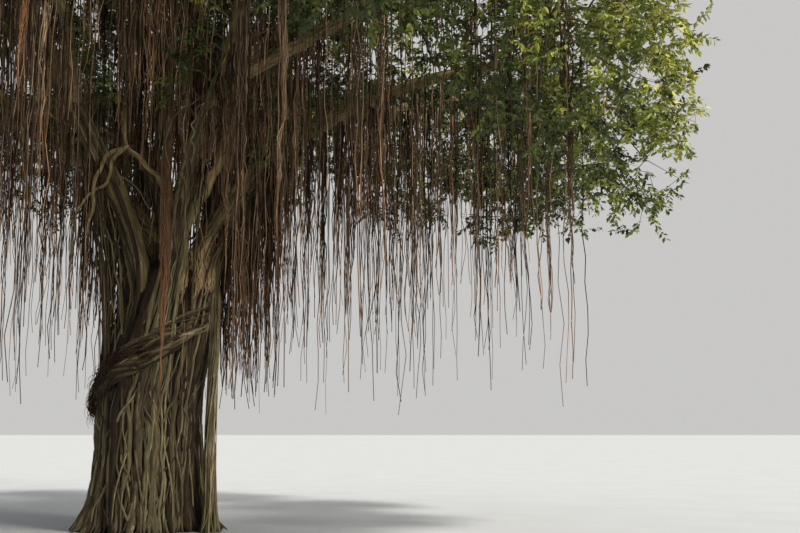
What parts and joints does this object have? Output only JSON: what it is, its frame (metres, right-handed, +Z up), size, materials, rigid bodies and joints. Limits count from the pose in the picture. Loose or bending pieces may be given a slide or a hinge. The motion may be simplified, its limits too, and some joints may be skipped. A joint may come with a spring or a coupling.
{
  "type": "banyan tree",
  "caption": "Old banyan tree: a trunk of fused roots with a girdling root, boughs that climb and spread, curtains of hanging roots and a wide leafy crown.",
  "frame": {"origin": "on the flat cut under the trunk, at ground level, inside the trunk's foot", "axes": "+Z up, -Y to the front (the side that the picture shows), +X to the right, towards the long east bough"},
  "size_m": [21.1173, 20.1119, 13.4173],
  "materials": {
    "bark": "grey-brown ridged bark of fused roots, dry and matte, with paler ridges and dark grooves",
    "hanging_roots": "red-brown fibrous root strands, matte, paler and redder at the young tips",
    "foliage": "small oval leaves with a soft gloss, dark green inside the crown and yellow-green where the sun falls"
  },
  "bodies": {
    "root": {"trunk": "bark", "pillar_root": "bark", "leader": "bark", "bough_east": "bark", "bough_northeast": "bark", "bough_north": "bark", "bough_west": "bark", "bough_southwest": "bark", "bough_southeast": "bark", "side_limb_east": "bark", "side_limb_northeast": "bark", "side_limb_north": "bark", "side_limb_west": "bark", "side_limb_southwest": "bark", "side_limb_southeast": "bark", "top_limb_1": "bark", "top_limb_2": "bark", "top_limb_3": "bark", "top_limb_4": "bark", "top_limb_5": "bark", "inner_curtain_east": "hanging_roots", "inner_curtain_northeast": "hanging_roots", "inner_curtain_north": "hanging_roots", "inner_curtain_west": "hanging_roots", "inner_curtain_southwest": "hanging_roots", "inner_curtain_southeast": "hanging_roots", "outer_curtain_east": "hanging_roots", "outer_curtain_northeast": "hanging_roots", "outer_curtain_north": "hanging_roots", "outer_curtain_west": "hanging_roots", "outer_curtain_southwest": "hanging_roots", "outer_curtain_southeast": "hanging_roots", "top_curtain_1": "hanging_roots", "top_curtain_2": "hanging_roots", "top_curtain_3": "hanging_roots", "top_curtain_4": "hanging_roots", "top_curtain_5": "hanging_roots", "front_tassel": "hanging_roots", "crown_foliage": "foliage", "foliage_east": "foliage", "foliage_northeast": "foliage", "foliage_north": "foliage", "foliage_west": "foliage", "foliage_southwest": "foliage", "foliage_southeast": "foliage", "side_foliage_east": "foliage", "side_foliage_northeast": "foliage", "side_foliage_north": "foliage", "side_foliage_west": "foliage", "side_foliage_southwest": "foliage", "side_foliage_southeast": "foliage", "top_foliage_1": "foliage", "top_foliage_2": "foliage", "top_foliage_3": "foliage", "top_foliage_4": "foliage", "top_foliage_5": "foliage"}
  },
  "joints": []
}
